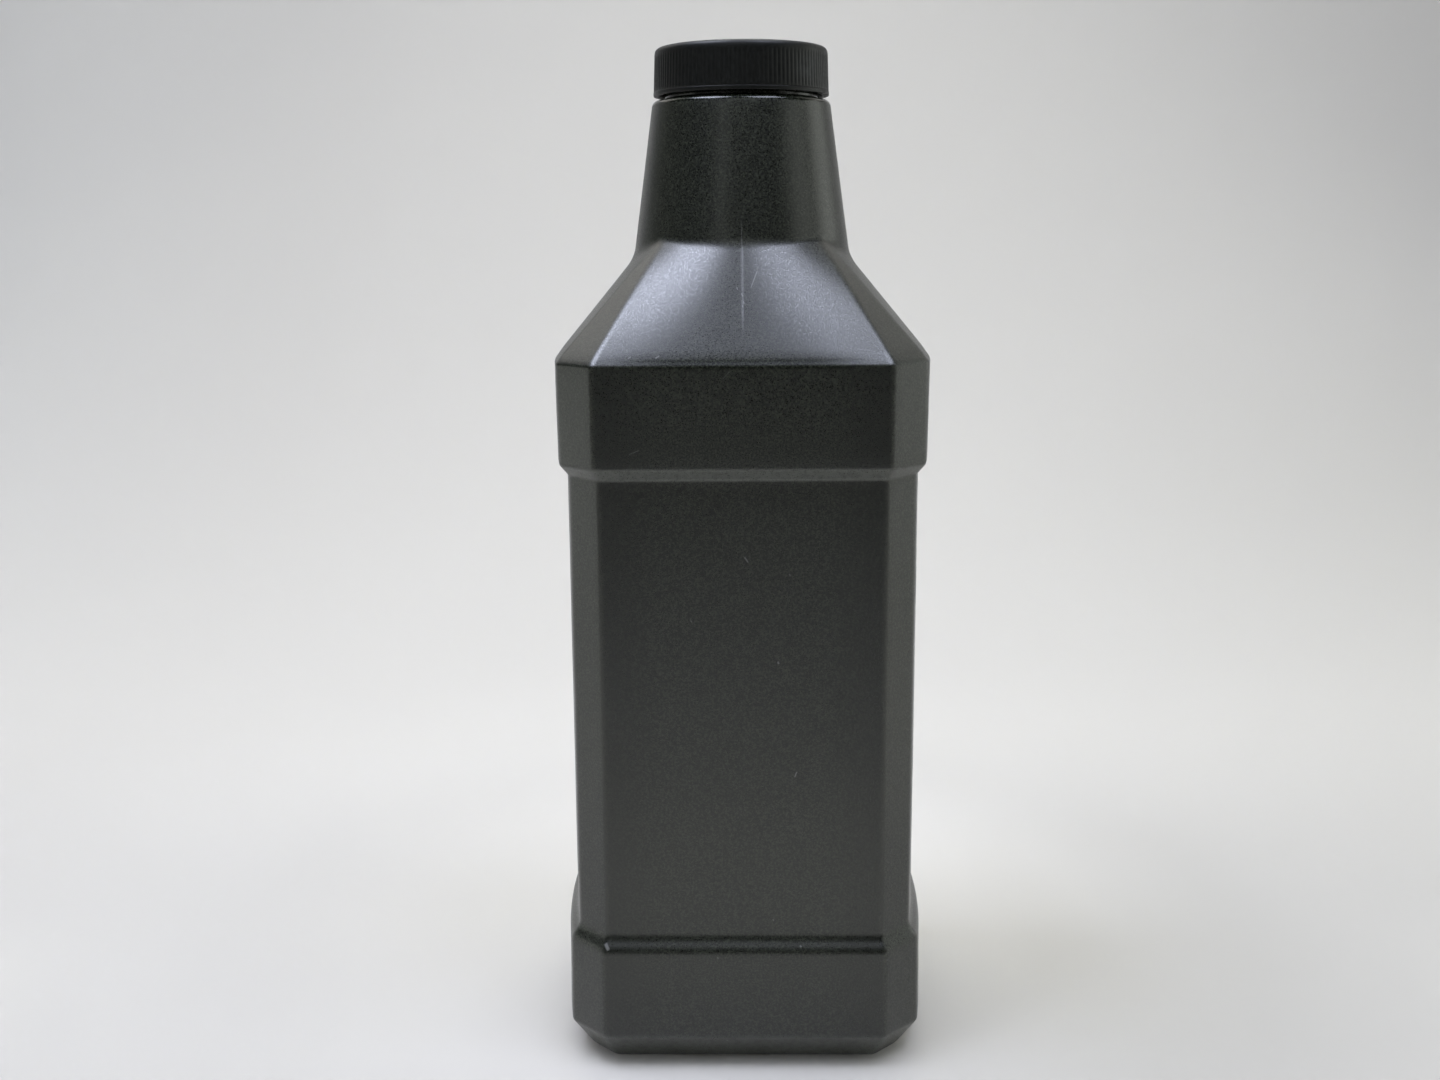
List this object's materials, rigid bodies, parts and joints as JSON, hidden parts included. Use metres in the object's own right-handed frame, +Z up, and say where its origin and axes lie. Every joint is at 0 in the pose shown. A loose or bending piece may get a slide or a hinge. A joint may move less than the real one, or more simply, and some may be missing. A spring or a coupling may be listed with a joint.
{
  "type": "motor oil bottle",
  "caption": "Square blow-moulded bottle with chamfered corners, banded ends, a faceted shoulder, a tapered round neck and a ribbed screw cap.",
  "frame": {"origin": "middle of the base, on the surface that the bottle stands on", "axes": "+Z up along the neck, -Y towards the front face with the parting line, +X towards a label face"},
  "size_m": [0.086, 0.0816, 0.2301],
  "materials": {
    "bottle_plastic": "satin",
    "cap_plastic": "satin",
    "liner_foam": "matte"
  },
  "bodies": {
    "bottle": {"bottle": "bottle_plastic"},
    "liner": {"cap_liner": "liner_foam"},
    "cap": {"cap": "cap_plastic"}
  },
  "joints": [
    {"name": "cap_lift", "type": "slide", "parent": "bottle", "child": "liner", "axis": [0, 0, 1], "range_m": [0, 0.0128]},
    {"name": "cap_turn", "type": "hinge", "parent": "liner", "child": "cap", "pos_m": [0, 0, 0.2195], "axis": [0, 0, 1], "range_deg": [0, 1080]}
  ],
  "couplings": [
    {"joint": "cap_lift", "follows": "cap_turn", "m_per_rad": 0.00067323}
  ]
}
